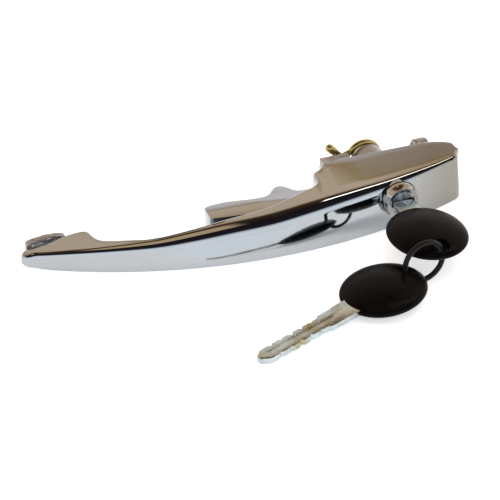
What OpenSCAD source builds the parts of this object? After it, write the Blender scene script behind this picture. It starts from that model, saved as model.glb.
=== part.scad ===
// Trigger-operated car door handle with a key lock and two keys on a ring.
// Millimetres. +X runs along the grip towards the lock, +Y into the door, +Z up.
// The origin is where the lock axis crosses the door seat plane.
// Shapes are drawn with z = 0 on the flat underside and then lowered by lock_height.

/* [Grip] */
// Leftmost point of the foot
tip_x = -138; // [-142:1:-137]
// Rightmost point of the lock pod
pod_end_x = 31.5; // [31:0.5:33]
// Radius of the curved front edge, seen from above
front_radius = 190; // [180:5:220]
// Where the front edge stands furthest from the door
front_apex_x = -42; // [-46:1:-38]
// Distance of that point from the door
front_apex_depth = 29.9; // [29:0.1:31]
// Height of the lock pod
pod_height = 17.5; // [17:0.5:19]
// Rounding of the rear top edge
rear_round = 1.1; // [0.8:0.1:1.4]

/* [Lock] */
// Height of the lock axis above the underside
lock_height = 11.3; // [11:0.1:11.5]
// Radius of the bore that the plug turns in
plug_bore_r = 5.0; // [5:0.1:5.1]
// Running clearance between the plug and its bore
plug_clearance = 0.05; // [0.03:0.01:0.08]
// How far the flange that carries the bezel stands in front of the door plane
flange_depth = 23.9; // [23.6:0.1:24.1]
// Radius of the bezel at its front
bezel_r = 6.2; // [6.1:0.05:6.3]
// Radius of the bezel at its base
bezel_base_r = 6.75; // [6.6:0.05:6.9]
// How far the bezel's front stands in front of the door plane
bezel_depth = 28.2; // [28:0.1:28.4]
// Length of the barrel behind the door plane
barrel_out = 10; // [9.5:0.5:11]

/* [Trigger] */
// Pivot position along the grip
pivot_x = -24; // [-24.5:0.1:-23.5]
// Pivot position across the grip
pivot_y = -9; // [-9.2:0.1:-8.8]
// Radius of the pivot pin
pivot_r = 1.5; // [1.2:0.1:1.6]
// Underside of the trigger blade
trigger_low = 2.5; // [2.4:0.1:2.8]
// Top of the trigger blade
trigger_high = 10.5; // [10:0.1:10.6]

/* [Keys] */
// Length of the key head along the key
head_length = 33; // [31:0.5:34]
// Width of the key head
head_width = 29; // [27:0.5:30]
// Length of the blade outside its head
blade_length = 41; // [40:0.5:42]
// Thickness of the blade
blade_thick = 2.2; // [2:0.1:2.3]
// Middle radius of the key ring
ring_r = 7.8; // [7.6:0.1:8]
// Radius of the key ring's wire
ring_wire = 1.0; // [0.9:0.05:1.05]

/* [Hidden] */
$fn = 64;
fit = 0.4;                       // clearance round the trigger
WAFERS = 5;

// Outline, heights and roundings along the grip: each list holds [x, value] pairs.
rear_line = [[-134, 0], [-115.2, 0], [-113.6, -1.4], [-109.8, -8.7], [-107, -10.6],
    [-101, -13.3], [-94.6, -15.9], [-86, -17.6], [-74, -18.4], [-62, -18.5], [-50, -18],
    [-40, -16], [-32, -12.5], [-28, -9], [-26.6, -4.2], [-25.4, -1.2], [-23.4, 0], [17, 0],
    [22, -0.5], [26, -1.6], [29.3, -3.3], [30.8, -4.9], [pod_end_x, -8.6]];
front_end_line = [[27, -16.9], [28.6, -15.6], [30.3, -12.2], [31.2, -10], [pod_end_x, -8.6]];
ridge_line = [[tip_x, 5.2], [-132, 6.3], [-120, 8.1], [-107, 9.5], [-93, 10.6], [-79, 12.3],
    [-65, 13.8], [-50, 14.8], [-34, 16.4], [-20, pod_height - 0.2], [-9, pod_height],
    [pod_end_x, pod_height]];
setback_line = [[tip_x, 0.8], [-115, 1.2], [-93, 2.2], [-65, 3.5], [-20, 3.7], [20, 3.5],
    [pod_end_x, 3]];
front_round_line = [[tip_x, 1.2], [-115, 1.5], [-95, 2.6], [-70, 4.5], [-20, 4.2], [5, 3],
    [20, 1.6], [pod_end_x, 1.3]];
tip_start = -134;                // where the foot's end begins to round off
tip_mid = -3;                    // middle of the foot's end, across the grip
edge_round = 0.6;                // rounding of the lower edge
foot_lift = 1.6;                 // rise of the underside at the foot's tip
foot_lift_x = -128;              // where that rise starts

// Lock pieces, as distances from the door plane
collar_r = plug_bore_r + 0.5;
collar_depth = bezel_depth - 0.4;
boss_r = 5.6;
gasket_thick = 0.4;
plug_r = plug_bore_r - plug_clearance;
plug_front = 27.1;
face_cap_thick = 0.4;
tail_r = 2;
cam_thick = 1.35;
barrel_r = 5.8;
barrel_end = 6;                  // rear end of the cast barrel
plug_neck_r = 3.9;               // behind the cast barrel, inside the spring
neck_start = 5.8;
spigot_r = 6.1;
keyway_wide = 8.7;
keyway_narrow = 6.9;
keyway_tip = 6.2;
keyway_high = 2.6;
keyway_step = 20.4;
wafer_pitch = 5;
wafer_thick = 1;
wafer_high = 6;
coil_r = 6.25;
coil_at = [-1.1, 11];
spring_wire = 1.1;
lug_x = [20, 26];
lug_y = 8.5;
lug_z = 8.8;
lug_r = 4.2;
lug_hole_r = 2.5;
dowel_at = [-14.6, 10];

// Trigger arm and plunger, along the grip and across it
arm_low = 2.2;
arm_high = 5.0;
arm_end = [8, -10.9];
pad_r = 1.7;
plunger_r = 1.3;
plunger_z = 3.5;
plunger_bore = plunger_r + 0.06;

// Keys
head_reach = head_length / 2;
head_edge = 1.4;                 // half thickness near the rim
head_dome = 2.6;                 // how much thicker the middle is, each side
head_gap = 5.1;                  // between the plug face and the key head
key_y = -(bezel_depth - 0.3) - head_gap - head_reach;
hole_reach = 11.9;               // from the middle of a head to its ring hole
hole_r = 3.0;
tang = 12;                       // length of blade inside the head
stem = 12;                       // wide part of the blade outside the head
ring_turn = 8;
ring_z = ring_r + ring_wire + 0.2;
ring_off = 7.0;                  // from the first hole to the ring's middle
spare_off = 13.4;                // from the first hole to the second
spare_yaw = 109.8;
spare_tilt = 3;
spare_z = 4.25;

chrome = [0.82, 0.83, 0.85];
gold = [0.72, 0.6, 0.28];
steel = [0.6, 0.6, 0.58];
black = [0.08, 0.08, 0.08];
brass = [0.7, 0.66, 0.5];

// Smooth curve through [x, value] pairs that never overshoots them.
function piece(p, x, i = 0) = (i >= len(p) - 2 || x < p[i + 1][0]) ? i : piece(p, x, i + 1);
function rise(p, i) = (p[i + 1][1] - p[i][1]) / (p[i + 1][0] - p[i][0]);
function slope(p, i) =
    i == 0 ? rise(p, 0)
    : i == len(p) - 1 ? rise(p, i - 1)
    : rise(p, i - 1) * rise(p, i) <= 0 ? 0
    : 2 * rise(p, i - 1) * rise(p, i) / (rise(p, i - 1) + rise(p, i));
function curve(p, x) =
    let (i = piece(p, x), w = p[i + 1][0] - p[i][0])
    let (t = min(1, max(0, (x - p[i][0]) / w)), s = 1 - t)
    p[i][1] * s * s * (1 + 2 * t) + slope(p, i) * w * t * s * s
    + p[i + 1][1] * t * t * (3 - 2 * t) - slope(p, i + 1) * w * t * t * s;

function tip_bow(x) = sqrt(max(0, 1 - pow((tip_start - x) / (tip_start - tip_x), 2)));
function front_arc(x) =
    front_radius - front_apex_depth - sqrt(pow(front_radius, 2) - pow(x - front_apex_x, 2));
function front_y(x) =
    x < tip_start ? tip_mid + (front_arc(tip_start) - tip_mid) * tip_bow(x)
    : x < front_end_line[0][0] ? front_arc(x)
    : curve(front_end_line, x);
function rear_y(x) = x < tip_start ? tip_mid * (1 - tip_bow(x)) : curve(rear_line, x);
function under_z(x) = x < foot_lift_x ? foot_lift * pow((foot_lift_x - x) / (foot_lift_x - tip_x), 2) : 0;

// Stations along the grip, closer together where the outline turns.
function steps(from, to, count) = [for (i = [0:count - 1]) from + (to - from) * i / count];
stations = concat(
    [for (a = [0:18:72]) tip_start - (tip_start - tip_x) * cos(a)],
    steps(tip_start, -116, 5), steps(-116, -106, 9), steps(-106, -32, 13),
    steps(-32, -22, 10), steps(-22, 17, 6), steps(17, 28, 5), steps(28, 31, 5),
    [31, 31.35, pod_end_x]);
last = len(stations) - 1;
ring_count = 2 * last;
outline = concat(
    [for (i = [0:last]) [stations[i], front_y(stations[i])]],
    [for (i = [last - 1:-1:1]) [stations[i], rear_y(stations[i])]]);
function outward(i) =
    let (a = outline[(i + ring_count - 1) % ring_count], b = outline[(i + 1) % ring_count])
    let (d = b - a) [d[1], -d[0]] / norm(d);
function frontness(i) = (1 - outward(i)[1]) / 2;
function top_round(i) =
    rear_round + (curve(front_round_line, outline[i][0]) - rear_round) * pow(frontness(i), 2);
function inset_point(i, inset, z) =
    let (n = outward(i)) [outline[i][0] - n[0] * inset, outline[i][1] - n[1] * inset, z];
function wall_inset(i, t) = curve(setback_line, outline[i][0]) * pow(frontness(i), 1.5) * pow(t, 1.3);
function wall_point(i, t) =
    let (low = under_z(outline[i][0]) + edge_round)
    let (high = curve(ridge_line, outline[i][0]) - top_round(i))
    inset_point(i, wall_inset(i, t * 0.8), low + (high - low) * t);
function top_point(i, a) =
    inset_point(i, wall_inset(i, 0.8 + 0.2 * sin(a)) + top_round(i) * (1 - cos(a)),
        curve(ridge_line, outline[i][0]) - top_round(i) * (1 - sin(a)));
layers = concat(
    [[for (i = [0:ring_count - 1]) inset_point(i, edge_round, under_z(outline[i][0]))]],
    [for (t = [0, 0.35, 0.7, 1]) [for (i = [0:ring_count - 1]) wall_point(i, t)]],
    [for (a = [25, 50, 70, 90]) [for (i = [0:ring_count - 1]) top_point(i, a)]]);
function across(i) = (ring_count - i) % ring_count;

module grip_body() {
    levels = len(layers);
    top = (levels - 1) * ring_count;
    sides = [for (k = [0:levels - 2], i = [0:ring_count - 1])
        let (a = k * ring_count + i, b = k * ring_count + (i + 1) % ring_count)
        each [[a, a + ring_count, b + ring_count], [a, b + ring_count, b]]];
    bottom_front = [for (i = [0:last - 2]) [i, i + 1, across(i + 1)]];
    bottom_rear = [for (i = [1:last - 1]) [i, across(i + 1), across(i)]];
    cap = concat(bottom_front, bottom_rear);
    flipped = [for (f = cap) [top + f[2], top + f[1], top + f[0]]];
    polyhedron(points = [for (l = layers, p = l) p], faces = concat(sides, cap, flipped));
}

// Cylinder along the door normal, centred on the lock axis unless moved.
module along_y(from, to, r, at = [0, lock_height]) {
    translate([at[0], from, at[1]]) rotate([-90, 0, 0]) cylinder(h = to - from, r = r);
}

module upright(from, to, r, at) {
    translate([at[0], at[1], from]) cylinder(h = to - from, r = r);
}

module slab(low, high) {
    translate(low) cube(high - low);
}

// Round wire swept along a path whose tangents are never parallel to ref.
module wire(path, radii, ref, sides = 8) {
    count = len(path);
    rings = [for (k = [0:count - 1])
        let (t = path[min(k + 1, count - 1)] - path[max(k - 1, 0)])
        let (u = cross(t, ref) / norm(cross(t, ref)), v = cross(t, u) / norm(t))
        each [for (j = [0:sides - 1])
            path[k] + radii[k] * (cos(j * 360 / sides) * u + sin(j * 360 / sides) * v)]];
    skin = [for (k = [0:count - 2], j = [0:sides - 1])
        let (a = k * sides + j, b = k * sides + (j + 1) % sides)
        each [[a, a + sides, b + sides], [a, b + sides, b]]];
    ends = [[for (j = [0:sides - 1]) j], [for (j = [sides - 1:-1:0]) (count - 1) * sides + j]];
    polyhedron(points = rings, faces = concat(skin, ends));
}

module seated() {
    translate([0, 0, -lock_height]) children();
}

// Rough casting behind the door plane: housing, spigot, screw lug and foot hook.
module raw_features() {
    slab([-20.7, -2, 3.5], [-9, 3.9, 17]);
    slab([-18.5, 3, 5.5], [-16.8, 4.9, 15]);
    along_y(-4, 3.5, spigot_r);
    along_y(3, barrel_end, barrel_r);
    translate([lug_x[0], lug_y, lug_z]) rotate([0, 90, 0]) cylinder(h = lug_x[1] - lug_x[0], r = lug_r);
    slab([lug_x[0], -3, lug_z - 3], [lug_x[1], lug_y, lug_z + 3]);
    slab([17, -3, 3], [19, 6, lock_height]);
    translate([0, 0, 1.8]) linear_extrude(4.4)
        polygon([[-133, -1.5], [-133, 2], [-130.6, 2.7], [-128.4, 1.1], [-121, 1.5], [-120, -1.5]]);
    translate([0, 2.2, 0]) rotate([90, 0, 0]) linear_extrude(3.2)
        polygon([[-135.2, 3.2], [-135.2, 7.3], [-134.6, 8], [-132.4, 8.6], [-127.5, 9.1],
            [-123.6, 8.8], [-120.4, 7.9], [-120, 6.6], [-120, 3.2]]);
}

module trigger_room() {
    translate([0, 0, trigger_low - fit]) linear_extrude(trigger_high - trigger_low + 2 * fit)
        polygon([[-46, -15.4], [-36, -15.6], [-30, -14.6], [pivot_x, -13.6], [-20, -12],
            [-20, -4.5], [-46, -4.5]]);
    upright(trigger_low - fit, trigger_high + fit, 4.4, [pivot_x, pivot_y]);
    upright(trigger_high, 14.6, 3.2, [pivot_x, pivot_y]);
    slab([pivot_x, -13.4, 1.6], [12.5, -3.6, 5.5]);
}

module handle_casting() {
    color(chrome) seated() difference() {
        union() {
            difference() {
                grip_body();
                along_y(-60, -flange_depth, bezel_base_r + 0.3);
                slab([-25, 0, -1], [18, 5, pod_height + 1]);
                slab([-136, 0, -1], [-114, 5, 12]);
            }
            along_y(-flange_depth, -17, boss_r);
            along_y(-collar_depth, -flange_depth + 1, collar_r);
            raw_features();
        }
        along_y(-collar_depth - 1, barrel_out + 1, plug_bore_r);
        translate([lug_x[0] - 1, lug_y, lug_z]) rotate([0, 90, 0]) cylinder(h = 8, r = lug_hole_r);
        trigger_room();
        along_y(-5, 5, plunger_bore, [arm_end[0], plunger_z]);
        upright(-1, 15.6, pivot_r, [pivot_x, pivot_y]);
        along_y(1, 6, 1.2, dowel_at);
    }
}

module trigger_pivot_pin() {
    color(steel) seated() upright(0.2, 15.5, pivot_r, [pivot_x, pivot_y]);
}

module trigger_spring() {
    turns = 3;
    low = trigger_high + 0.9;
    rise = 2.2;
    turn_r = 2.4;
    leg_end = 1.2;
    wire_r = 0.35;
    path = concat(
        [[pivot_x + turn_r, pivot_y - leg_end, low]],
        [for (a = [0:20:360 * turns])
            [pivot_x + turn_r * cos(a), pivot_y + turn_r * sin(a), low + rise * a / 360 / turns]],
        [[pivot_x + turn_r, pivot_y + leg_end, low + rise]]);
    color(steel) seated() wire(path, [for (p = path) wire_r], [0, 0, 1], 6);
}

module lock_bezel() {
    inner = collar_r + 0.03;
    base = flange_depth + gasket_thick;
    lip = 4.6;
    color(chrome) seated() translate([0, 0, lock_height]) rotate([90, 0, 0])
        rotate_extrude()
            polygon([[inner, base], [bezel_base_r, base], [bezel_base_r, base + 1.6],
                [bezel_r, bezel_depth - 0.6], [bezel_r - 0.1, bezel_depth - 0.25],
                [bezel_r - 0.35, bezel_depth], [bezel_r - 0.6, bezel_depth],
                [lip, bezel_depth - 0.22], [lip, bezel_depth - 0.36], [inner, bezel_depth - 0.36]]);
}

module lock_gasket() {
    color(black) seated() difference() {
        along_y(-flange_depth - gasket_thick, -flange_depth, bezel_base_r + 0.15);
        along_y(-flange_depth - 1, -flange_depth + 1, collar_r);
    }
}

// Spring round the plug's neck, with one thick free leg that rises beside the pod.
module centring_spring() {
    near = 7.2;
    far = 8.6;
    leg = [[-15.3, 18.3], [-13.3, 16.2], [-11.4, 14.3], [-9.7, 13.2], [-8.1, 13.7]];
    swell = [1.6, 1.5, 1.25, 1.1, 1.1];
    tail = [[-8.9, 9.6], [-10.4, 9.4], [-12, 9.6]];
    sweep = 330;
    start = 148;
    count = 24;
    coil = [for (i = [0:count]) let (a = start - sweep * i / count)
        [coil_at[0] + coil_r * cos(a), near + (far - near) * i / count, coil_at[1] + coil_r * sin(a)]];
    path = concat([for (p = leg) [p[0], near, p[1]]], coil, [for (p = tail) [p[0], far, p[1]]]);
    radii = concat(swell, [for (i = [1:len(path) - len(leg)]) spring_wire]);
    color(gold) seated() wire(path, radii, [0, 1, 0], 8);
}

module spring_dowel() {
    color(steel) seated() along_y(1, 9.6, 1.2, dowel_at);
}

module trigger_lever() {
    blade = [[-69, -11.6], [-68.2, -12.3], [-55, -13.8], [-45, -14], [-38, -13.1], [-30, -12.8],
        [pivot_x, pivot_y - 4], [pivot_x, pivot_y + 4], [-29.5, -5.7], [-31.8, -5.5], [-33.8, -4.4],
        [-35.2, -2.4], [-36.6, -0.8], [-38.4, -0.1], [-39.8, -0.5], [-41.4, -2], [-43.4, -4.1],
        [-46, -5], [-50, -4.9], [-55, -4.1], [-60.3, -3.4], [-65.5, -3.7], [-68, -4.2], [-69, -5.1]];
    color(chrome) seated() difference() {
        union() {
            translate([0, 0, trigger_low]) linear_extrude(trigger_high - trigger_low) polygon(blade);
            upright(trigger_low, trigger_high, 4, [pivot_x, pivot_y]);
            slab([pivot_x, -12.8, arm_low], [10.8, -9.6, arm_high]);
        }
        upright(0, 16, pivot_r + 0.06, [pivot_x, pivot_y]);
        upright(arm_low - 1, arm_high + 1, pad_r + 0.02, arm_end);
    }
}

module arm_pad() {
    color(black) seated() upright(arm_low + 0.1, arm_high - 0.1, pad_r, arm_end);
}

module release_plunger() {
    at = [arm_end[0], plunger_z];
    color(steel) seated() difference() {
        union() {
            along_y(-9.1, -7.9, 1.7, at);
            along_y(-8, 8, plunger_r, at);
        }
        difference() {
            along_y(0.9, 1.5, plunger_r + 1, at);
            along_y(0, 2, plunger_r - 0.3, at);
        }
    }
}

module plunger_clip() {
    at = [arm_end[0], plunger_z];
    color(steel) seated() difference() {
        along_y(0.95, 1.45, 2.6, at);
        along_y(0, 2, plunger_r - 0.28, at);
        slab([at[0] - 0.9, 0, at[1] - 3], [at[0] + 0.9, 2, at[1]]);
    }
}

module keyway() {
    slab([-keyway_wide / 2, -plug_front - 1, lock_height - keyway_high / 2],
        [keyway_wide / 2, -keyway_step, lock_height + keyway_high / 2]);
    slab([-keyway_narrow / 2, -keyway_step - 1, lock_height - keyway_high / 2],
        [keyway_narrow / 2, neck_start - 0.3, lock_height + keyway_high / 2]);
    slab([-keyway_tip / 2, 0, lock_height - keyway_high / 2],
        [keyway_tip / 2, barrel_out - 1.2, lock_height + keyway_high / 2]);
}

function wafer_y(i) = -17 + wafer_pitch * i;

module lock_plug() {
    color(brass) seated() difference() {
        union() {
            along_y(-plug_front, neck_start, plug_r);
            along_y(0, barrel_out + 0.05, plug_neck_r);
            along_y(barrel_out, barrel_out + 2.8, tail_r);
        }
        keyway();
        for (i = [0:WAFERS - 1])
            slab([-6, wafer_y(i) - 0.05, lock_height - wafer_high / 2 - 0.05],
                [6, wafer_y(i) + wafer_thick + 0.05, lock_height + wafer_high / 2 + 0.05]);
        slab([-3.6, -plug_front - 1, lock_height + 1], [3.6, -22.2, lock_height + 1.8]);
        difference() {
            along_y(barrel_out + 1.5, barrel_out + 2.1, tail_r + 1);
            along_y(barrel_out, barrel_out + 3, tail_r - 0.4);
        }
    }
}

module plug_face_cap() {
    color(chrome) seated() difference() {
        along_y(-plug_front - face_cap_thick, -plug_front, plug_r - 0.1);
        slab([-keyway_wide / 2, -plug_front - 1, lock_height - keyway_high / 2],
            [keyway_wide / 2, -plug_front + 1, lock_height + keyway_high / 2]);
    }
}

module dust_shutter() {
    color(steel) seated()
        slab([-3.4, -plug_front + 0.1, lock_height + 1.4], [3.4, -22.4, lock_height + 1.7]);
}

module wafer(i) {
    color(brass) seated() difference() {
        intersection() {
            along_y(wafer_y(i), wafer_y(i) + wafer_thick, plug_r - 0.1);
            slab([-6, wafer_y(i) - 1, lock_height - wafer_high / 2],
                [6, wafer_y(i) + 2, lock_height + wafer_high / 2]);
        }
        slab([-keyway_narrow / 2 - 0.1, wafer_y(i) - 1, lock_height - keyway_high / 2 - 0.1],
            [keyway_narrow / 2 + 0.1, wafer_y(i) + 2, lock_height + keyway_high / 2 + 0.1]);
    }
}

module lock_cam() {
    near = barrel_out + 0.1;
    color(steel) seated() difference() {
        union() {
            along_y(near, near + cam_thick, 4.6);
            slab([-1.5, near, lock_height - 8.5], [1.5, near + cam_thick, lock_height]);
        }
        along_y(barrel_out, barrel_out + 3, tail_r + 0.02);
    }
}

module cam_clip() {
    color(steel) seated() difference() {
        along_y(barrel_out + 1.52, barrel_out + 2.02, 3.4);
        along_y(barrel_out, barrel_out + 3, tail_r - 0.38);
        slab([-1.3, barrel_out, lock_height - 4], [1.3, barrel_out + 3, lock_height]);
    }
}

// A key lies along +Y from its head's middle at the origin, with its faces up and down.
module key_body_blade() {
    start = head_reach - tang;
    tip = head_reach + blade_length;
    cuts = 5;
    difference() {
        translate([0, 0, -blade_thick / 2]) linear_extrude(blade_thick)
            polygon([[-4.15, start], [4.15, start], [4.15, head_reach + stem - 1],
                [3.25, head_reach + stem], [3.25, tip - 3], [1, tip], [-1, tip],
                [-3.25, tip - 3], [-3.25, head_reach + stem], [-4.15, head_reach + stem - 1]]);
        for (i = [0:cuts - 1], side = [-1, 1])
            translate([side * 3.9, head_reach + stem + 3 + i * 4.6, -blade_thick]) rotate([0, 0, 45])
                translate([-0.9 - 0.15 * (i % 3), -0.9 - 0.15 * (i % 3), 0])
                    cube([1.8 + 0.3 * (i % 3), 1.8 + 0.3 * (i % 3), 2 * blade_thick]);
        for (face = [-1, 1])
            slab([-0.8, head_reach + 4, face * blade_thick / 2 - 0.35],
                [0.8, tip - 4, face * blade_thick / 2 + 0.35]);
    }
}

module key_body_head() {
    rim = [for (a = [90:-10:0]) let (r = cos(a)) [head_reach * r,
        head_edge * sqrt(1 - pow(r, 8)) + head_dome * (1 - r * r)]];
    lower = [for (i = [len(rim) - 2:-1:0]) [rim[i][0], -rim[i][1]]];
    difference() {
        scale([head_width / head_length, 1, 1]) rotate_extrude($fn = 48) polygon(concat(rim, lower));
        translate([0, -hole_reach, -6]) cylinder(h = 12, r = hole_r, $fn = 48);
        slab([-4.17, head_reach - tang - 0.02, -blade_thick / 2 - 0.02],
            [4.17, head_reach + 1, blade_thick / 2 + 0.02]);
    }
}

module key_place() {
    seated() translate([0, key_y, lock_height]) children();
}

function ring_point(along) = [-along * cos(ring_turn), key_y - hole_reach - along * sin(ring_turn)];

module spare_place() {
    hole = ring_point(spare_off);
    middle = hole + hole_reach * [-sin(spare_yaw), cos(spare_yaw)];
    seated() translate([middle[0], middle[1], spare_z]) rotate([0, 0, spare_yaw])
        rotate([-spare_tilt, 0, 0]) children();
}

module key_blade() { color(brass) key_place() key_body_blade(); }
module key_head() { color(black) key_place() key_body_head(); }
module spare_key_blade() { color(brass) spare_place() key_body_blade(); }
module spare_key_head() { color(black) spare_place() key_body_head(); }

module key_ring() {
    middle = ring_point(ring_off);
    color(black) seated() translate([middle[0], middle[1], ring_z]) rotate([0, 0, ring_turn])
        rotate([90, 0, 0]) rotate_extrude() translate([ring_r, 0]) circle(r = ring_wire, $fn = 32);
}

handle_casting();
trigger_pivot_pin();
trigger_spring();
lock_bezel();
lock_gasket();
centring_spring();
spring_dowel();
trigger_lever();
arm_pad();
release_plunger();
plunger_clip();
lock_plug();
plug_face_cap();
dust_shutter();
wafer(0);  // wafer_1
wafer(1);  // wafer_2
wafer(2);  // wafer_3
wafer(3);  // wafer_4
wafer(4);  // wafer_5
lock_cam();
cam_clip();
key_blade();
key_head();
key_ring();
spare_key_blade();
spare_key_head();
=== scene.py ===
import math

import bmesh
import bpy
import numpy as np
from mathutils import Matrix, Vector


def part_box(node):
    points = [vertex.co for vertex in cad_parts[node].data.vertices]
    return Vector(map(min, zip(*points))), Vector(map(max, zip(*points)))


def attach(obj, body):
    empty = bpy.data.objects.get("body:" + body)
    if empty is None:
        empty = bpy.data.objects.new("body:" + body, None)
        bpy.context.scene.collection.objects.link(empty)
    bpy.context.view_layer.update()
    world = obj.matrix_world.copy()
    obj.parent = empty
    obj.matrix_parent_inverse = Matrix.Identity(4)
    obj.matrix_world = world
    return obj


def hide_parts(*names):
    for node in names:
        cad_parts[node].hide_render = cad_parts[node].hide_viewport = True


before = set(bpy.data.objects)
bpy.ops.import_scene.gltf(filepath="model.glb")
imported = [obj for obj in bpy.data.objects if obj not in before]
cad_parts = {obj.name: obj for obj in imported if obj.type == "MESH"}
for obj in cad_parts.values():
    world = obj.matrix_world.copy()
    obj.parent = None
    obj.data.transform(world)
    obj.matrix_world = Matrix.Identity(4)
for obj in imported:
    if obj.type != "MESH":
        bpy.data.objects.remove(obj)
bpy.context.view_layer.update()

# ---------------------------------------------------------------- sizes, in millimetres
MM = 0.001


def corners(node):
    low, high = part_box(node)
    return low / MM, high / MM


casting_low, casting_high = corners("handle_casting")
UNDER = casting_low.z                 # underside of the handle; the lock axis is z = 0
TIP_X = casting_low.x
POD_END_X = casting_high.x
FRONT_RADIUS = 190
FRONT_APEX_X = -42
FRONT_APEX_DEPTH = -casting_low.y
REAR_ROUND = 1.1
TIP_START = -134
TIP_MID = -3
EDGE_ROUND = 0.6
FOOT_LIFT = 1.6
FOOT_LIFT_X = -128

REAR_LINE = [(-134, 0), (-117.5, 0), (-114.6, -0.3), (-112.8, -1.2), (-111.7, -2.8),
             (-110.9, -6.3), (-109.6, -8.9), (-106.5, -11), (-101, -13.3), (-94.6, -15.9),
             (-86, -17.6), (-74, -18.4), (-62, -18.5), (-50, -18), (-40, -16), (-35.4, -14.7), (-31.4, -13.9), (-29.4, -12.6),
             (-28.4, -10.4), (-27.6, -7), (-26.5, -5.2), (-24.3, -3.9), (-22.2, -1.6),
             (-20.9, 0), (17, 0), (22, -0.5), (26, -1.6), (29.3, -3.3), (30.8, -4.9),
             (POD_END_X, -8.6)]
FRONT_END_LINE = [(27, -16.9), (28.6, -15.6), (30.3, -12.2), (31.2, -10), (POD_END_X, -8.6)]
RIDGE_LINE = [(TIP_X, 5.2), (-132, 6.3), (-120, 8.1), (-107, 9.5), (-93, 10.6), (-79, 12.3),
              (-65, 13.8), (-50, 14.8), (-34, 16.4), (-20, 17.3), (-9, 17.5),
              (POD_END_X, 17.5)]
SETBACK_LINE = [(TIP_X, 0.8), (-115, 1.2), (-93, 2.2), (-65, 3.5), (-20, 3.7), (20, 3.5),
                (POD_END_X, 3)]
FRONT_ROUND_LINE = [(TIP_X, 1.7), (-115, 2.3), (-95, 3.4), (-70, 4.6), (-20, 4.2), (5, 3),
                    (20, 1.6), (POD_END_X, 1.3)]


def curve(pairs, x):
    """Smooth curve through (x, value) pairs that never overshoots them."""
    i = 0
    while i < len(pairs) - 2 and x >= pairs[i + 1][0]:
        i += 1

    def rise(k):
        return (pairs[k + 1][1] - pairs[k][1]) / (pairs[k + 1][0] - pairs[k][0])

    def slope(k):
        if k == 0:
            return rise(0)
        if k == len(pairs) - 1:
            return rise(k - 1)
        a, b = rise(k - 1), rise(k)
        return 0 if a * b <= 0 else 2 * a * b / (a + b)

    width = pairs[i + 1][0] - pairs[i][0]
    t = min(1, max(0, (x - pairs[i][0]) / width))
    s = 1 - t
    return (pairs[i][1] * s * s * (1 + 2 * t) + slope(i) * width * t * s * s
            + pairs[i + 1][1] * t * t * (3 - 2 * t) - slope(i + 1) * width * t * t * s)


def tip_bow(x):
    return math.sqrt(max(0, 1 - ((TIP_START - x) / (TIP_START - TIP_X)) ** 2))


def front_arc(x):
    return FRONT_RADIUS - FRONT_APEX_DEPTH - math.sqrt(FRONT_RADIUS ** 2 - (x - FRONT_APEX_X) ** 2)


def front_y(x):
    if x < TIP_START:
        return TIP_MID + (front_arc(TIP_START) - TIP_MID) * tip_bow(x)
    if x < FRONT_END_LINE[0][0]:
        return front_arc(x)
    return curve(FRONT_END_LINE, x)


def rear_y(x):
    if x < TIP_START:
        return TIP_MID * (1 - tip_bow(x))
    return curve(REAR_LINE, x)


def under_z(x):
    if x >= FOOT_LIFT_X:
        return 0
    return FOOT_LIFT * ((FOOT_LIFT_X - x) / (FOOT_LIFT_X - TIP_X)) ** 2


# ---------------------------------------------------------------- mesh helpers
def mesh_object(name, points, faces, smooth_angle=35):
    mesh = bpy.data.meshes.new(name)
    mesh.from_pydata([Vector(p) * MM for p in points], [], faces)
    mesh.validate()
    obj = bpy.data.objects.new(name, mesh)
    bpy.context.scene.collection.objects.link(obj)
    smooth(obj, smooth_angle)
    return obj


def smooth(obj, angle=35):
    mesh = obj.data
    mesh.polygons.foreach_set("use_smooth", [True] * len(mesh.polygons))
    mesh.set_sharp_from_angle(angle=math.radians(angle))
    mesh.update()


def applied(obj):
    """Bakes the object's modifiers into its mesh."""
    bpy.context.view_layer.update()
    graph = bpy.context.evaluated_depsgraph_get()
    mesh = bpy.data.meshes.new_from_object(obj.evaluated_get(graph))
    obj.modifiers.clear()
    old = obj.data
    obj.data = mesh
    bpy.data.meshes.remove(old)
    return obj


def cut(obj, cutters, operation="DIFFERENCE"):
    for cutter in cutters:
        step = obj.modifiers.new("cut", "BOOLEAN")
        step.operation = operation
        step.solver = "EXACT"
        step.object = cutter
        applied(obj)
        bpy.data.objects.remove(cutter)
    return obj


def bevelled(obj, width, segments=3, angle=30):
    step = obj.modifiers.new("bevel", "BEVEL")
    step.width = width * MM
    step.segments = segments
    step.limit_method = "ANGLE"
    step.angle_limit = math.radians(angle)
    step.harden_normals = False
    applied(obj)
    smooth(obj, 40)
    return obj


def joined(name, objects):
    """One object from several, keeping every material slot."""
    bpy.ops.object.select_all(action="DESELECT")
    for obj in objects:
        obj.select_set(True)
    bpy.context.view_layer.objects.active = objects[0]
    bpy.ops.object.join()
    objects[0].name = name
    return objects[0]


def revolved(name, profile, centre, axis="Y", count=128, angle=35):
    """Turns a closed profile of (radius, distance along the axis) about an axis through centre."""
    points, faces = [], []
    for k in range(count):
        a = 2 * math.pi * k / count
        c, s = math.cos(a), math.sin(a)
        for r, d in profile:
            turned = {"X": (d, r * c, r * s), "Y": (r * c, d, r * s), "Z": (r * c, r * s, d)}[axis]
            points.append(Vector(centre) + Vector(turned))
    n = len(profile)
    for k in range(count):
        for j in range(n):
            a, b = k * n + j, k * n + (j + 1) % n
            c, d = ((k + 1) % count) * n + (j + 1) % n, ((k + 1) % count) * n + j
            faces.append((a, b, c, d))
    obj = mesh_object(name, points, faces, angle)
    tidy_normals(obj)
    return obj


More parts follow.
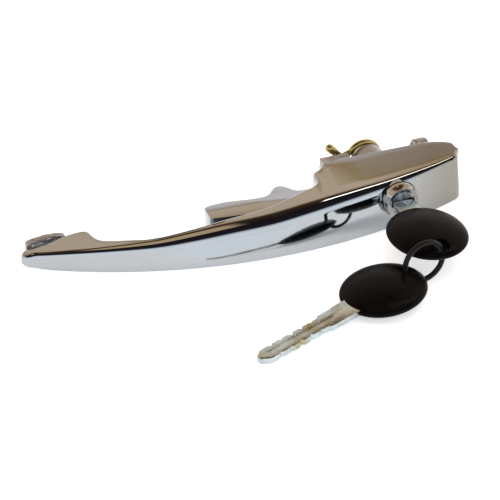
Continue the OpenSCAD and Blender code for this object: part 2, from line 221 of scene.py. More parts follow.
def rod(name, radius, low, high, centre, axis="Y", edge=0.0, count=96):
    """A solid round bar with rounded ends."""
    turns = 4
    profile = [(0.0001, low)]
    if edge:
        profile += [(radius - edge + edge * math.sin(a), low + edge - edge * math.cos(a))
                    for a in np.linspace(0, math.pi / 2, turns + 1)]
        profile += [(radius - edge + edge * math.cos(a), high - edge + edge * math.sin(a))
                    for a in np.linspace(0, math.pi / 2, turns + 1)]
    else:
        profile += [(radius, low), (radius, high)]
    profile += [(0.0001, high)]
    return revolved(name, profile, centre, axis, count)


def tidy_normals(obj):
    work = bmesh.new()
    work.from_mesh(obj.data)
    bmesh.ops.remove_doubles(work, verts=work.verts, dist=0.0002 * MM)
    bmesh.ops.recalc_face_normals(work, faces=work.faces)
    work.to_mesh(obj.data)
    work.free()
    obj.data.update()


def prism(name, outline, low, high):
    """An upright prism on a plan outline."""
    n = len(outline)
    points = [(x, y, low) for x, y in outline] + [(x, y, high) for x, y in outline]
    faces = [tuple(reversed(range(n))), tuple(range(n, 2 * n))]
    faces += [(i, (i + 1) % n, n + (i + 1) % n, n + i) for i in range(n)]
    obj = mesh_object(name, points, faces)
    tidy_normals(obj)
    return obj


def block(name, low, high):
    (x0, y0, z0), (x1, y1, z1) = low, high
    return prism(name, [(x0, y0), (x1, y0), (x1, y1), (x0, y1)], z0, z1)


def smoothed(knots, per_span):
    """Catmull-Rom points through (x, y, z, radius) knots."""
    knots = [np.array(k) for k in knots]
    rows = []
    for i in range(len(knots) - 1):
        a, b, c, d = knots[max(i - 1, 0)], knots[i], knots[i + 1], knots[min(i + 2, len(knots) - 1)]
        for t in np.arange(per_span) / per_span:
            rows.append(0.5 * (2 * b + (c - a) * t + (2 * a - 5 * b + 4 * c - d) * t * t
                               + (3 * b - a - 3 * c + d) * t ** 3))
    rows.append(knots[-1])
    return [r[:3] for r in rows], [r[3] for r in rows]


def swept(name, path, radius, sides=24, closed=False):
    """Round wire along a path, with domed ends; radius is one number or one for each point."""
    path = [Vector(p) for p in path]
    count = len(path)
    radii = list(radius) if hasattr(radius, "__len__") else [radius] * count
    tangents = []
    for k in range(count):
        a = path[(k - 1) % count] if closed or k else path[0]
        b = path[(k + 1) % count] if closed or k < count - 1 else path[-1]
        tangents.append((b - a).normalized())
    normal = tangents[0].orthogonal().normalized()
    points, faces = [], []

    def ring(middle, r, tangent):
        nonlocal normal
        normal = (normal - tangent * normal.dot(tangent)).normalized()
        side = tangent.cross(normal)
        for j in range(sides):
            a = 2 * math.pi * j / sides
            points.append(middle + (normal * math.cos(a) + side * math.sin(a)) * r)

    dome = [math.radians(a) for a in (80, 60, 40, 20)]
    rings = 0
    if not closed:
        for a in dome:
            ring(path[0] - tangents[0] * radii[0] * math.sin(a), radii[0] * math.cos(a), tangents[0])
            rings += 1
    for p, t, r in zip(path, tangents, radii):
        ring(p, r, t)
        rings += 1
    if not closed:
        for a in reversed(dome):
            ring(path[-1] + tangents[-1] * radii[-1] * math.sin(a), radii[-1] * math.cos(a), tangents[-1])
            rings += 1
    for k in range(rings if closed else rings - 1):
        for j in range(sides):
            a, b = k * sides + j, k * sides + (j + 1) % sides
            c, d = ((k + 1) % rings) * sides + (j + 1) % sides, ((k + 1) % rings) * sides + j
            faces.append((a, b, c, d))
    if not closed:
        faces += [tuple(reversed(range(sides))), tuple(range((rings - 1) * sides, rings * sides))]
    obj = mesh_object(name, points, faces, 60)
    tidy_normals(obj)
    return obj


# ---------------------------------------------------------------- material helpers
class Nodes:
    """Short calls for building one material's node tree."""

    def __init__(self, name):
        self.material = bpy.data.materials.new(name)
        self.material.use_nodes = True
        self.tree = self.material.node_tree
        self.shader = self.tree.nodes["Principled BSDF"]
        self.place = self.add("ShaderNodeTexCoord").outputs["Object"]

    def add(self, kind, **values):
        node = self.tree.nodes.new(kind)
        for key, value in values.items():
            if hasattr(node, key):
                setattr(node, key, value)
            else:
                node.inputs[key.replace("_", " ")].default_value = value
        return node

    def link(self, out, into):
        self.tree.links.new(out, into)

    def scaled(self, scale, turn=(0, 0, 0)):
        node = self.add("ShaderNodeMapping")
        node.inputs["Scale"].default_value = scale
        node.inputs["Rotation"].default_value = turn
        self.link(self.place, node.inputs["Vector"])
        return node.outputs["Vector"]

    def noise(self, scale, detail=4, rough=0.5, vector=None, distortion=0):
        node = self.add("ShaderNodeTexNoise")
        node.inputs["Scale"].default_value = scale
        node.inputs["Detail"].default_value = detail
        node.inputs["Roughness"].default_value = rough
        node.inputs["Distortion"].default_value = distortion
        self.link(vector or self.place, node.inputs["Vector"])
        return node.outputs["Fac"]

    def ramp(self, factor, stops):
        node = self.add("ShaderNodeValToRGB")
        while len(node.color_ramp.elements) > len(stops):
            node.color_ramp.elements.remove(node.color_ramp.elements[-1])
        while len(node.color_ramp.elements) < len(stops):
            node.color_ramp.elements.new(1)
        for element, (position, colour) in zip(node.color_ramp.elements, stops):
            element.position = position
            element.color = (*colour, 1) if hasattr(colour, "__len__") else (colour,) * 3 + (1,)
        self.link(factor, node.inputs["Fac"])
        return node.outputs["Color"]

    def tone(self, low, high, stops):
        """Colours along X, from one place on the handle to another."""
        split = self.add("ShaderNodeSeparateXYZ")
        self.link(self.place, split.inputs[0])
        span = self.add("ShaderNodeMapRange")
        span.inputs["From Min"].default_value = low * MM
        span.inputs["From Max"].default_value = high * MM
        self.link(split.outputs["X"], span.inputs["Value"])
        return self.ramp(span.outputs[0], stops)

    def times(self, a, b):
        node = self.add("ShaderNodeMix", data_type="RGBA", blend_type="MULTIPLY")
        node.inputs[0].default_value = 1
        self.link(a, node.inputs[6])
        self.link(b, node.inputs[7])
        return node.outputs[2]

    def bump(self, height, strength, distance, normal=None):
        node = self.add("ShaderNodeBump")
        node.inputs["Strength"].default_value = strength
        node.inputs["Distance"].default_value = distance * MM
        self.link(height, node.inputs["Height"])
        if normal:
            self.link(normal, node.inputs["Normal"])
        return node.outputs["Normal"]

    def set(self, **values):
        for key, value in values.items():
            socket = self.shader.inputs[key.replace("_", " ")]
            if isinstance(value, bpy.types.NodeSocket):
                self.link(value, socket)
            else:
                socket.default_value = value


def chrome(name, tint=(0.375, 0.405, 0.43)):
    """Bright plating: fine polishing marks, faint orange peel and a few hairline scratches, with painted
    shade that darkens and warms it towards the lock and pod end.
    """
    m = Nodes(name)
    # painted shade: the plating colour is multiplied darker and warmer along X from x = -10 to 22 mm,
    # standing in for a dimmer reflection near the pod end
    painted_pod_shade = m.tone(-10, 22, [(0, (1, 1, 1)), (1, (0.68, 0.62, 0.53))])
    marks = m.noise(900, 3, 0.6, m.scaled((0.12, 1, 1)))
    haze = m.noise(60, 5, 0.6)
    dark, light = [c * 0.96 for c in tint], [min(1, c * 1.03) for c in tint]
    m.set(Base_Color=m.times(m.ramp(haze, [(0.3, dark), (0.7, light)]), painted_pod_shade), Metallic=1.0,
          Roughness=m.ramp(marks, [(0.3, 0.03), (0.8, 0.085)]))
    peel = m.bump(m.noise(160, 2, 0.4), 0.05, 0.05)
    scratch = m.noise(700, 2, 0.5, m.scaled((0.03, 1, 1.6), (0, 0, 0.3)))
    m.set(Normal=m.bump(m.ramp(scratch, [(0.66, 0.0), (0.72, 1.0)]), 0.03, 0.02, peel))
    return m.material


def raw_zinc(name):
    """As-cast zinc: dull, grainy and a little sparkly."""
    m = Nodes(name)
    grain = m.noise(900, 6, 0.7)
    patches = m.noise(140, 4, 0.6)
    m.set(Base_Color=m.ramp(patches, [(0.3, (0.2, 0.19, 0.18)), (0.55, (0.34, 0.33, 0.32)),
                                      (0.75, (0.5, 0.5, 0.49))]),
          Metallic=0.9, Roughness=m.ramp(grain, [(0.3, 0.18), (0.7, 0.5)]))
    coarse = m.bump(m.noise(420, 4, 0.65), 0.8, 0.35)
    m.set(Normal=m.bump(grain, 0.35, 0.08, coarse))
    return m.material


def key_plastic(name):
    """Soft moulded black plastic with a fine eggshell texture and rubbed patches."""
    m = Nodes(name)
    wear = m.noise(120, 5, 0.6)
    m.set(Base_Color=m.ramp(wear, [(0.3, (0.0016, 0.0013, 0.0014)), (0.7, (0.0036, 0.0028, 0.0028))]),
          Roughness=m.ramp(wear, [(0.35, 0.22), (0.7, 0.38)]))
    m.shader.inputs["Specular IOR Level"].default_value = 0.055
    egg = m.bump(m.noise(1500, 3, 0.5), 0.12, 0.03)
    m.set(Normal=m.bump(m.noise(260, 3, 0.5), 0.06, 0.1, egg))
    return m.material


def key_nickel(name):
    """Worn nickel over brass: yellow shows through in patches, with milling lines."""
    m = Nodes(name)
    wear = m.noise(110, 4, 0.55, distortion=0.4)
    lines = m.noise(2600, 2, 0.5, m.scaled((1, 0.05, 1)))
    m.set(Base_Color=m.ramp(wear, [(0.3, (0.36, 0.3, 0.12)), (0.42, (0.36, 0.4, 0.36)),
                                   (0.62, (0.5, 0.6, 0.66))]),
          Metallic=1.0, Roughness=m.ramp(lines, [(0.3, 0.16), (0.75, 0.36)]))
    m.set(Normal=m.bump(lines, 0.04, 0.02))
    return m.material


def yellow_zinc(name):
    """Yellow-passivated steel wire with slight green and rose tints."""
    m = Nodes(name)
    tint = m.noise(220, 3, 0.5, distortion=0.6)
    m.set(Base_Color=m.ramp(tint, [(0.3, (0.24, 0.23, 0.08)), (0.5, (0.38, 0.3, 0.1)),
                                   (0.7, (0.34, 0.23, 0.1))]),
          Metallic=1.0, Roughness=m.ramp(m.noise(500, 4, 0.6), [(0.3, 0.16), (0.7, 0.34)]))
    m.set(Normal=m.bump(m.noise(900, 3, 0.5), 0.08, 0.03))
    return m.material


def steel(name, tint=(0.5, 0.5, 0.48)):
    m = Nodes(name)
    lines = m.noise(1800, 3, 0.6, m.scaled((1, 1, 0.08)))
    m.set(Base_Color=m.ramp(m.noise(200, 4, 0.5), [(0.3, [c * 0.85 for c in tint]), (0.7, tint)]),
          Metallic=1.0, Roughness=m.ramp(lines, [(0.3, 0.22), (0.7, 0.42)]))
    m.set(Normal=m.bump(lines, 0.1, 0.03))
    return m.material


def rubber(name):
    m = Nodes(name)
    dust = m.noise(300, 4, 0.6)
    m.set(Base_Color=m.ramp(dust, [(0.3, (0.003, 0.003, 0.003)), (0.75, (0.008, 0.008, 0.008))]),
          Roughness=m.ramp(dust, [(0.3, 0.3), (0.7, 0.5)]))
    m.shader.inputs["Specular IOR Level"].default_value = 0.15
    m.set(Normal=m.bump(m.noise(1200, 3, 0.5), 0.15, 0.04))
    return m.material


CHROME = chrome("chrome_plate")
CHROME_BEZEL = chrome("chrome_cap", (0.42, 0.43, 0.44))
ZINC = raw_zinc("raw_zinc")
PLASTIC = key_plastic("key_plastic")
NICKEL = key_nickel("key_nickel")
GOLD = yellow_zinc("yellow_zinc")
STEEL = steel("bright_steel")
BRASS = steel("plug_brass", (0.58, 0.5, 0.3))
RUBBER = rubber("black_rubber")


def piece(obj, material, body, slot, *replaced):
    obj.data.materials.clear()
    obj.data.materials.append(material)
    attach(obj, body)
    if replaced:
        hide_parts(*replaced)
    return obj


# ---------------------------------------------------------------- casting
FLANGE_Y = -23.9
COLLAR_R = 5.5
COLLAR_Y = -27.8
BOSS_R = 5.6
BORE_R = 5.0
bezel_low, bezel_high = corners("lock_bezel")
BEZEL_BASE_R = (bezel_high.x - bezel_low.x) / 2
BEZEL_R = BEZEL_BASE_R - 0.55
plunger_low, plunger_high = corners("release_plunger")
PLUNGER_X = (plunger_low.x + plunger_high.x) / 2
PLUNGER_Z = (plunger_low.z + plunger_high.z) / 2
pin_low, pin_high = corners("trigger_pivot_pin")
PIVOT = ((pin_low.x + pin_high.x) / 2, (pin_low.y + pin_high.y) / 2)
PIVOT_R = (pin_high.x - pin_low.x) / 2


def spaced(low, high, count):
    return list(np.linspace(low, high, count, endpoint=False))


def grip_shell():
    """The chromed body: a plan outline drawn up through layers that lean and round over."""
    xs = [TIP_START - (TIP_START - TIP_X) * math.cos(a) for a in np.linspace(0, math.pi / 2, 14)][:-1]
    xs += spaced(TIP_START, -116, 16) + spaced(-116, -106, 30) + spaced(-106, -32, 60)
    xs += spaced(-32, -22, 50) + spaced(-22, 17, 30) + spaced(17, 27, 12) + spaced(27, 31, 20)
    xs += [POD_END_X - 0.5 * (1 - math.sin(a)) for a in np.linspace(0, math.pi / 2, 10)]
    last = len(xs) - 1
    outline = [(x, front_y(x)) for x in xs] + [(x, rear_y(x)) for x in xs[-2:0:-1]]
    outline = np.array(outline)
    count = len(outline)
    d = np.roll(outline, -1, 0) - np.roll(outline, 1, 0)
    normal = np.stack([d[:, 1], -d[:, 0]], 1) / np.linalg.norm(d, axis=1)[:, None]
    for _ in range(3):
        normal = normal + 0.5 * (np.roll(normal, 1, 0) + np.roll(normal, -1, 0))
        normal /= np.linalg.norm(normal, axis=1)[:, None]
    front = (1 - normal[:, 1]) / 2
    at = outline[:, 0]
    setback = np.array([curve(SETBACK_LINE, x) for x in at]) * front ** 1.5
    ridge = np.array([curve(RIDGE_LINE, x) for x in at])
    under = np.array([under_z(x) for x in at])
    round_top = REAR_ROUND + (np.array([curve(FRONT_ROUND_LINE, x) for x in at]) - REAR_ROUND) * front ** 2

    def layer(inset, z):
        return np.column_stack([outline - normal * np.reshape(inset, (-1, 1)), z + UNDER])

    layers = []
    for a in np.linspace(0, math.pi / 2, 5)[:-1]:
        layers.append(layer(np.full(count, EDGE_ROUND * (1 - math.sin(a))),
                            under + EDGE_ROUND * (1 - math.cos(a))))
    for t in np.linspace(0, 1, 13):
        low = under + EDGE_ROUND
        high = ridge - round_top
        layers.append(layer(setback * (0.8 * t) ** 1.3, low + (high - low) * t))
    for a in np.linspace(0, math.pi / 2, 15)[1:]:
        lean = setback * (0.8 + 0.2 * math.sin(a)) ** 1.3
        layers.append(layer(lean + round_top * (1 - math.cos(a)), ridge - round_top * (1 - math.sin(a))))
    points = [p for ring in layers for p in ring]
    faces = []
    for k in range(len(layers) - 1):
        for i in range(count):
            a, b = k * count + i, k * count + (i + 1) % count
            faces.append((a, b, b + count, a + count))
    across = [(count - i) % count for i in range(last + 1)]
    top = (len(layers) - 1) * count
    rows = 6
    strips = []
    for i in range(last + 1):
        if i in (0, last):
            strips.append([top + i] * (rows + 1))
            continue
        a, b = Vector(points[top + i]), Vector(points[top + across[i]])
        line = [top + i]
        for r in range(1, rows):
            points.append(a.lerp(b, r / rows))
            line.append(len(points) - 1)
        strips.append(line + [top + across[i]])
    for i in range(last):
        for r in range(rows):
            quad = [strips[i][r], strips[i + 1][r], strips[i + 1][r + 1], strips[i][r + 1]]
            quad = list(dict.fromkeys(quad))
            if len(quad) > 2:
                faces.append(tuple(quad))
    for i in range(last):
        quad = list(dict.fromkeys([i, across[i], across[i + 1], i + 1]))
        if len(quad) > 2:
            faces.append(tuple(quad))
    shell = mesh_object("casting", points, faces, 180)
    tidy_normals(shell)
    return shell


def build_casting():
    shell = grip_shell()
    trigger_high = corners("trigger_lever")[1]
    gap = 0.4
    blade_low = UNDER + 2.5 - gap
    blade_high = trigger_high.z + gap
    seat_r = BEZEL_BASE_R + 0.25
    flange_cut = revolved("flange_cut", [(0.001, -60), (seat_r, -60), (seat_r, FLANGE_Y),
                                         (0.001, FLANGE_Y)], (0, 0, 0))
    room = prism("room", [(-46, -15.4), (-36, -15.6), (-30, -14.6), (PIVOT[0], -13.6), (-20, -12),
                          (-20, -4.5), (-46, -4.5)], blade_low, blade_high)
    hub = rod("hub", 4.4, blade_low, blade_high, (*PIVOT, 0), "Z")
    arm = block("arm", (PIVOT[0], -13.4, UNDER + 1.6), (12.5, -3.6, UNDER + 5.5))
    pin = rod("pin", PIVOT_R, UNDER - 1, pin_high.z, (*PIVOT, 0), "Z")
    bore = rod("bore", BORE_R + 0.05, -40, 20, (0, 0, 0))
    plunge = rod("plunge", 1.45, -5, 5, (PLUNGER_X, 0, PLUNGER_Z))
    cut(shell, [flange_cut, room, hub, arm, pin, bore, plunge])
    smooth(shell, 38)
    flange = revolved("flange", [(BORE_R + 0.05, -18), (BORE_R + 0.05, COLLAR_Y), (COLLAR_R, COLLAR_Y),
                                 (COLLAR_R, FLANGE_Y), (BOSS_R, FLANGE_Y), (BOSS_R, -18)], (0, 0, 0))
    shell = joined("casting", [shell, flange])
    piece(shell, CHROME, "handle", "chrome_casting", "handle_casting")
    return shell


def roughened(obj, amount, scale, seed):
    """Presses an uneven as-cast surface into a mesh."""
    step = obj.modifiers.new("remesh", "REMESH")
    step.mode = "VOXEL"
    step.voxel_size = 0.28 * MM
    applied(obj)
    texture = bpy.data.textures.new("cast_" + obj.name, "CLOUDS")
    texture.noise_scale = scale * MM
    texture.noise_depth = 3
    step = obj.modifiers.new("rough", "DISPLACE")
    step.texture = texture
    step.strength = amount * MM
    step.mid_level = 0.6 + 0.01 * seed
    applied(obj)
    bpy.data.textures.remove(texture)
    smooth(obj, 80)
    return obj


def build_raw():
    lug_low, lug_high = 20.1, 25.9
    lug_y, lug_z = 8.5, UNDER + 8.8
    housing = block("housing", (-20.4, -2, UNDER + 3.8), (-9, 3.7, UNDER + 16.8))
    rib = block("rib", (-18.4, 3, UNDER + 5.6), (-16.9, 4.7, UNDER + 14.9))
    web = block("web", (lug_low, -3, lug_z - 2.9), (lug_high, lug_y, lug_z + 2.9))
    post = block("post", (17.1, -3, UNDER + 3.2), (18.9, 5.8, 0))
    hook = prism("hook", [(-132.8, -1.5), (-132.8, 1.9), (-130.6, 2.5), (-128.4, 1.0), (-121.2, 1.3),
                          (-120.2, -1.5)], UNDER + 2.0, UNDER + 6.1)
    side = [(-135.1, 3.3), (-135.1, 6.7), (-134.5, 7.4), (-132.4, 8.0), (-127.5, 8.7),
            (-123.6, 8.5), (-120.5, 7.7), (-120.1, 6.6), (-120.1, 3.3)]
    boss = prism("boss", side, -2.1, 0.3)
    boss.data.transform(Matrix.Rotation(math.pi / 2, 4, "X"))
    boss.data.transform(Matrix.Translation((0, 0, UNDER * MM)))
    lug = rod("lug", 4.1, lug_low, lug_high, (0, lug_y, lug_z), "X", 0.9)
    raw = cut(housing, [rib], "UNION")
    cut(web, [lug], "UNION")
    cut(web, [rod("screw", 2.5, 10, 34, (0, lug_y, lug_z), "X")])
    cut(hook, [boss], "UNION")
    raw = joined("raw", [raw, web, post, hook])
    roughened(raw, 0.4, 1.6, 1)
    spigot = revolved("spigot", [(BORE_R + 0.05, -1), (6.1, -1), (6.1, 3.3), (5.95, 3.5), (5.8, 3.5),
                                 (5.8, 5.85), (5.65, 6), (BORE_R + 0.05, 6)], (0, 0, 0))
    raw = joined("casting_raw", [raw, spigot])
    piece(raw, ZINC, "handle", "chrome_casting")
    return raw


build_casting()
build_raw()

# ---------------------------------------------------------------- trigger
def build_trigger():
    high = corners("trigger_lever")[1]
    arm_low = UNDER + 2.2
    arm_high = UNDER + 5.0
    outline = [(-69, -11.6), (-68.2, -12.3), (-55, -13.8), (-45, -14), (-38, -13.1), (-30, -12.8),
               (PIVOT[0], PIVOT[1] - 4)]
    outline += [(PIVOT[0] + 4 * math.sin(a), PIVOT[1] - 4 * math.cos(a))
                for a in np.linspace(0, math.pi, 24)[1:-1]]
    rear = [(-69, -5.4), (-68.6, -4.6), (-67.8, -4.1), (-65.5, -3.6), (-60.3, -3.4), (-55, -4.1),
            (-50, -4.9), (-46, -5), (-43.4, -4.1), (-41.4, -2), (-39.8, -0.5), (-38.4, -0.1),
            (-36.6, -0.8), (-35.2, -2.4), (-33.8, -4.4), (-31.8, -5.5), (-29.5, -5.7),
            (PIVOT[0], PIVOT[1] + 4)]
    outline += [(x, curve(rear, x)) for x in np.linspace(PIVOT[0], -67.8, 90)] + rear[1::-1]
    blade = prism("trigger", outline, UNDER + 2.5, high.z)
    arm = block("trigger_arm", (PIVOT[0], -12.8, arm_low), (10.8, -9.6, arm_high))
    pad_low, pad_high = corners("arm_pad")
    pad = ((pad_low.x + pad_high.x) / 2, (pad_low.y + pad_high.y) / 2, 0)
    cut(blade, [arm], "UNION")
    cut(blade, [rod("pivot_hole", PIVOT_R + 0.06, -20, 20, (*PIVOT, 0), "Z"),
                rod("pad_hole", (pad_high.x - pad_low.x) / 2 + 0.02, -20, 20, pad, "Z")])
    bevelled(blade, 0.35, 3)
    piece(blade, CHROME, "trigger", "chrome_trigger", "trigger_lever")


build_trigger()

# ---------------------------------------------------------------- lock bezel, cap and seal
def build_bezel():
    front, rear = bezel_low.y, bezel_high.y
    inner = COLLAR_R + 0.03
    lip = 4.62
    profile = [(inner, rear), (BEZEL_BASE_R - 0.1, rear), (BEZEL_BASE_R, rear - 0.1),
               (BEZEL_BASE_R, rear - 1.35), (BEZEL_BASE_R - 0.05, rear - 1.55),
               (BEZEL_BASE_R - 0.12, rear - 1.68), (BEZEL_R + 0.02, front + 0.4)]
    profile += [(BEZEL_R - 0.22 + 0.22 * math.cos(a), front + 0.22 - 0.22 * math.sin(a))
                for a in np.linspace(0.05, math.pi / 2, 7)]
    profile += [(BEZEL_R - 0.34, front + 0.03), (BEZEL_R - 0.42, front + 0.12), (lip, front + 0.26),
                (lip, front + 0.35), (inner, front + 0.35)]
    bezel = revolved("lock_bezel_cap", profile, (0, 0, 0))
    piece(bezel, CHROME_BEZEL, "handle", "chrome_bezel", "lock_bezel")


build_bezel()

# ---------------------------------------------------------------- keys
HEAD_REACH = 16.5
HEAD_EDGE = 1.4
HEAD_DOME = 2.6
HOLE_REACH = 11.9
HOLE_R = 3.0
TANG = 12
STEM = 12
head_low, head_high = corners("key_head")
HEAD_RATIO = (head_high.x - head_low.x) / 2 / HEAD_REACH
blade_low, blade_high = corners("key_blade")
BLADE_THICK = blade_high.z - blade_low.z
KEY_TIP = blade_high.y
KEY_MID_Y = KEY_TIP - 41 - HEAD_REACH
SPARE_YAW = math.radians(109.8)
SPARE_TILT = math.radians(3)
RING_TURN = math.radians(8)


def along_ring(distance):
    return Vector((-distance * math.cos(RING_TURN),
                   KEY_MID_Y - HOLE_REACH - distance * math.sin(RING_TURN), 0))


KEY_PLACE = Matrix.Translation((0, KEY_MID_Y, 0))
spare_hole = along_ring(13.4)
spare_mid = spare_hole + HOLE_REACH * Vector((-math.sin(SPARE_YAW), math.cos(SPARE_YAW), 0))
spare_mid.z = UNDER + 4.25
SPARE_PLACE = (Matrix.Translation(spare_mid) @ Matrix.Rotation(SPARE_YAW, 4, "Z")
               @ Matrix.Rotation(-SPARE_TILT, 4, "X"))


def placed(obj, place):
    """Moves a key piece from the key's own frame, in millimetres, to its place."""
    move = place.copy()
    move.translation = move.translation * MM
    obj.data.transform(move)
    return obj


def key_head_mesh(name):
    turns = [math.sin(a) for a in np.linspace(0, math.pi / 2, 40)]
    upper = [(HEAD_REACH * r + 0.0001, HEAD_EDGE * math.sqrt(max(0, 1 - r ** 8)) + HEAD_DOME * (1 - r * r))
             for r in turns]
    profile = upper + [(r, -z) for r, z in reversed(upper[:-1])]
    head = revolved(name, profile, (0, 0, 0), "Z", 160, 180)
    head.data.transform(Matrix.Diagonal((HEAD_RATIO, 1, 1, 1)))
    cut(head, [rod("ring_hole", HOLE_R, -8, 8, (0, -HOLE_REACH, 0), "Z"),
               block("tang_slot", (-4.17, HEAD_REACH - TANG, -BLADE_THICK / 2 - 0.02),
                     (4.17, HEAD_REACH + 1, BLADE_THICK / 2 + 0.02))])
    smooth(head, 40)
    return head


def key_blade_mesh(name):
    start, tip = HEAD_REACH - TANG, HEAD_REACH + 41
    step_y = HEAD_REACH + STEM
    cuts = 5
    half = 3.25

    def notch(i):
        middle = step_y + 3 + i * 4.6
        side = (1.8 + 0.3 * (i % 3)) / 2 * math.sqrt(2)
        reach = max(0, side - 0.65)
        return [(half, middle - reach), (half - reach + 0.15, middle - 0.15),
                (half - reach + 0.15, middle + 0.15), (half, middle + reach)]

    right = [(4.15, start), (4.15, step_y - 1), (half, step_y)]
    for i in range(cuts):
        right += notch(i)
    right += [(half, tip - 3), (1, tip)]
    outline = right + [(-x, y) for x, y in reversed(right)]
    blade = prism(name, outline, -BLADE_THICK / 2, BLADE_THICK / 2)
    grooves = []
    for face in (-1, 1):
        z = face * BLADE_THICK / 2
        grooves.append(block("groove", (-0.8, HEAD_REACH + 7, z - 0.35), (0.8, tip - 4, z + 0.35)))
        grooves.append(block("ledge", (1.9, step_y - 7, z - 0.3), (6, tip + 1, z + 0.3)))
    cut(blade, grooves)
    bevelled(blade, 0.1, 2)
    return blade


for head_name, blade_name, place, body in (
        ("key_head_shell", "key_blade_bar", KEY_PLACE, "key"),
        ("spare_key_head_shell", "spare_key_blade_bar", SPARE_PLACE, "spare_key")):
    node = "key" if body == "key" else "spare_key"
    piece(placed(key_head_mesh(head_name), place), PLASTIC, body, "key_plastic", node + "_head")
    piece(placed(key_blade_mesh(blade_name), place), NICKEL, body, "key_nickel", node + "_blade")

# ---------------------------------------------------------------- ring and springs
ring_low, ring_high = corners("key_ring")
RING_WIRE = 1.0
RING_R = (ring_high.z - ring_low.z) / 2 - RING_WIRE


def build_ring():
    middle = along_ring(7.0)
    middle.z = (ring_low.z + ring_high.z) / 2
    side = Vector((math.cos(RING_TURN), math.sin(RING_TURN), 0))
    path = [middle + RING_R * (math.cos(a) * side + math.sin(a) * Vector((0, 0, 1)))
            for a in np.linspace(0, 2 * math.pi, 97)[:-1]]
    ring = swept("key_ring_loop", path, RING_WIRE, 24, True)
    piece(ring, RUBBER, "ring", "ring_plastic", "key_ring")


def build_centring_spring():
    near, far = 7.2, 8.6
    coil_r, coil_x, coil_z = 6.25, -1.1, UNDER + 11
    sweep, start = 330, 148
    leg = [(-14.9, 17.75), (-13.3, 16.2), (-11.4, 14.3), (-9.7, 13.2), (-8.1, 13.7)]
    swell = [1.58, 1.48, 1.24, 1.1, 1.1]
    tail = [(-8.9, 9.6), (-10.4, 9.4), (-12, 9.6)]
    knots = [(x, near, UNDER + z, r) for (x, z), r in zip(leg, swell)]
    for k in range(25):
        a = math.radians(start - sweep * k / 24)
        knots.append((coil_x + coil_r * math.cos(a), near + (far - near) * k / 24,
                      coil_z + coil_r * math.sin(a), 1.1))
    knots += [(x, far, UNDER + z, 1.1) for x, z in tail]
    path, radii = smoothed(knots, 5)
    spring = swept("centring_spring_wire", path, radii, 24)
    piece(spring, GOLD, "handle", "yellow_zinc", "centring_spring")


def build_trigger_spring():
    low = UNDER + 10.5 + 0.9
    turns = 3
    path = [(PIVOT[0] + 2.4, PIVOT[1] - 2.2, low)]
    for s in np.linspace(0, 1, 100):
        a = 2 * math.pi * turns * s
        path.append((PIVOT[0] + 2.4 * math.cos(a), PIVOT[1] + 2.4 * math.sin(a), low + 2.2 * s))
    path.append((PIVOT[0] + 2.4, PIVOT[1] + 2.2, low + 2.2))
    piece(swept("trigger_spring_wire", path, 0.35, 12), STEEL, "handle", "spring_steel", "trigger_spring")


build_ring()
build_centring_spring()
build_trigger_spring()

# ---------------------------------------------------------------- CAD nodes that show as they are
for name, material in {
        "trigger_pivot_pin": STEEL, "lock_gasket": RUBBER, "spring_dowel": STEEL, "arm_pad": RUBBER,
        "release_plunger": STEEL, "plunger_clip": STEEL, "lock_plug": BRASS, "plug_face_cap": CHROME_BEZEL,
        "dust_shutter": STEEL, "wafer_1": BRASS, "wafer_2": BRASS, "wafer_3": BRASS, "wafer_4": BRASS,
        "wafer_5": BRASS, "lock_cam": STEEL, "cam_clip": STEEL}.items():
    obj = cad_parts[name]
    for slot in obj.material_slots:
        slot.material = material
    if not obj.material_slots:
        obj.data.materials.append(material)
    smooth(obj, 35)

# ---------------------------------------------------------------- floor, lights, world
def ground():
    span = 3000
    floor = mesh_object("floor", [(-span, -span, UNDER), (span, -span, UNDER), (span, span, UNDER),
                                  (-span, span, UNDER)], [(0, 1, 2, 3)])
    m = Nodes("pale_floor")
    m.set(Base_Color=m.ramp(m.noise(4, 3, 0.5), [(0.3, (0.9, 0.905, 0.92)), (0.7, (0.93, 0.935, 0.95))]),
          Roughness=0.6)
    m.shader.inputs["Specular IOR Level"].default_value = 0.1
    m.shader.inputs["Emission Color"].default_value = (1, 1, 1, 1)
    m.shader.inputs["Emission Strength"].default_value = 0.5
    floor.data.materials.append(m.material)


def soft_light(name, place, target, size, size_y, power, colour=(1, 1, 1)):
    data = bpy.data.lights.new(name, "AREA")
    data.shape = "RECTANGLE"
    data.size = size
    data.size_y = size_y
    data.energy = power
    data.color = colour
    obj = bpy.data.objects.new(name, data)
    obj.location = place
    obj.rotation_euler = (Vector(target) - Vector(place)).to_track_quat("-Z", "Y").to_euler()
    bpy.context.scene.collection.objects.link(obj)
    return obj


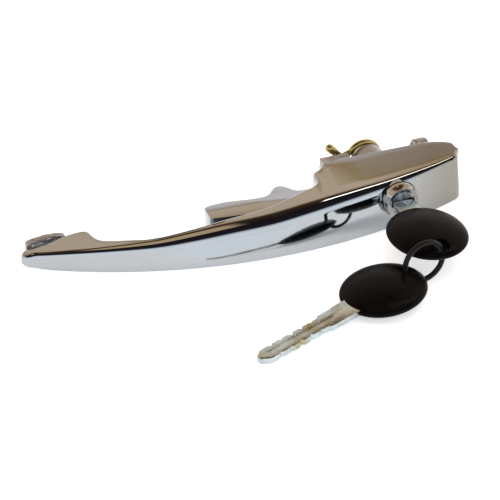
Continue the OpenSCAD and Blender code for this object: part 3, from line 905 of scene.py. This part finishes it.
def room_world():
    """A plain room: tan wall behind, dark ceiling in front, and a warm glow high on the left."""
    world = bpy.data.worlds.new("room")
    bpy.context.scene.world = world
    world.use_nodes = True
    tree = world.node_tree
    back = tree.nodes["Background"]
    place = tree.nodes.new("ShaderNodeTexCoord")
    split = tree.nodes.new("ShaderNodeSeparateXYZ")
    tree.links.new(place.outputs["Generated"], split.inputs[0])

    def ramp(socket, low, high, stops):
        scale = tree.nodes.new("ShaderNodeMapRange")
        scale.inputs["From Min"].default_value = low
        scale.inputs["From Max"].default_value = high
        tree.links.new(socket, scale.inputs["Value"])
        node = tree.nodes.new("ShaderNodeValToRGB")
        while len(node.color_ramp.elements) < len(stops):
            node.color_ramp.elements.new(1)
        for element, (position, colour) in zip(node.color_ramp.elements, stops):
            element.position = position
            element.color = (*colour, 1)
        tree.links.new(scale.outputs[0], node.inputs["Fac"])
        return node.outputs["Color"]

    def mixed(blend, a, b, factor=None):
        node = tree.nodes.new("ShaderNodeMix")
        node.data_type = "RGBA"
        node.blend_type = blend
        node.inputs[0].default_value = 1
        if factor:
            tree.links.new(factor, node.inputs[0])
        tree.links.new(a, node.inputs[6])
        tree.links.new(b, node.inputs[7])
        return node.outputs[2]

    far = ramp(split.outputs["Z"], 0, 1, [
        (0.0, (1.3, 1.22, 1.2)), (0.42, (1.05, 0.95, 0.9)), (0.52, (0.76, 0.62, 0.53)),
        (0.53, (0.6, 0.42, 0.25)), (0.542, (0.58, 0.38, 0.17)), (0.553, (1.0, 0.76, 0.52)),
        (0.6, (0.97, 0.74, 0.54)), (0.72, (0.95, 0.7, 0.5)), (0.8, (0.66, 0.43, 0.24)),
        (0.87, (0.16, 0.09, 0.05)), (0.97, (0.05, 0.03, 0.02))])
    near = ramp(split.outputs["Z"], 0, 1, [
        (0.0, (1.48, 1.5, 1.53)), (0.4, (1.42, 1.45, 1.5)), (0.53, (1.1, 1.12, 1.2)),
        (0.66, (0.03, 0.024, 0.032)), (0.97, (0.02, 0.016, 0.018))])
    side = ramp(split.outputs["Y"], -0.15, 0.15, [(0.0, (0, 0, 0)), (1.0, (1, 1, 1))])
    wall = mixed("MIX", near, far, side)
    lamp = ramp(split.outputs["Z"], 0, 1, [(0.955, (0, 0, 0)), (0.978, (0.85, 0.6, 0.34))])
    left = ramp(split.outputs["X"], 0.03, 0.12, [(0, (1, 1, 1)), (1, (0, 0, 0))])
    tree.links.new(mixed("ADD", wall, mixed("MULTIPLY", lamp, left)), back.inputs["Color"])


ground()
room_world()
soft_light("top_strip", (0.8, 0.06, 1.3), (0.8, 0, 0), 1.0, 0.12, 2.2, (1, 0.94, 0.82))
fill = soft_light("floor_fill", (-0.05, -0.3, 1.5), (-0.05, -0.02, 0), 2.4, 2.4, 17)
fill.visible_glossy = False


# ---------------------------------------------------------------- camera
def aim_camera():
    elevation, azimuth, distance = math.radians(34), math.radians(20.5), 850
    target = Vector((-55.7, -17.1, UNDER - 3.1))
    back = Vector((-math.sin(azimuth) * math.cos(elevation), -math.cos(azimuth) * math.cos(elevation),
                   math.sin(elevation)))
    data = bpy.data.cameras.new("camera")
    data.sensor_width = 36
    data.lens = 167.4
    data.clip_start = 0.01
    camera = bpy.data.objects.new("camera", data)
    camera.location = (target + back * distance) * MM
    camera.rotation_euler = (-back).to_track_quat("-Z", "Y").to_euler()
    bpy.context.scene.collection.objects.link(camera)
    bpy.context.scene.camera = camera


aim_camera()
bpy.context.scene.view_settings.view_transform = "Standard"
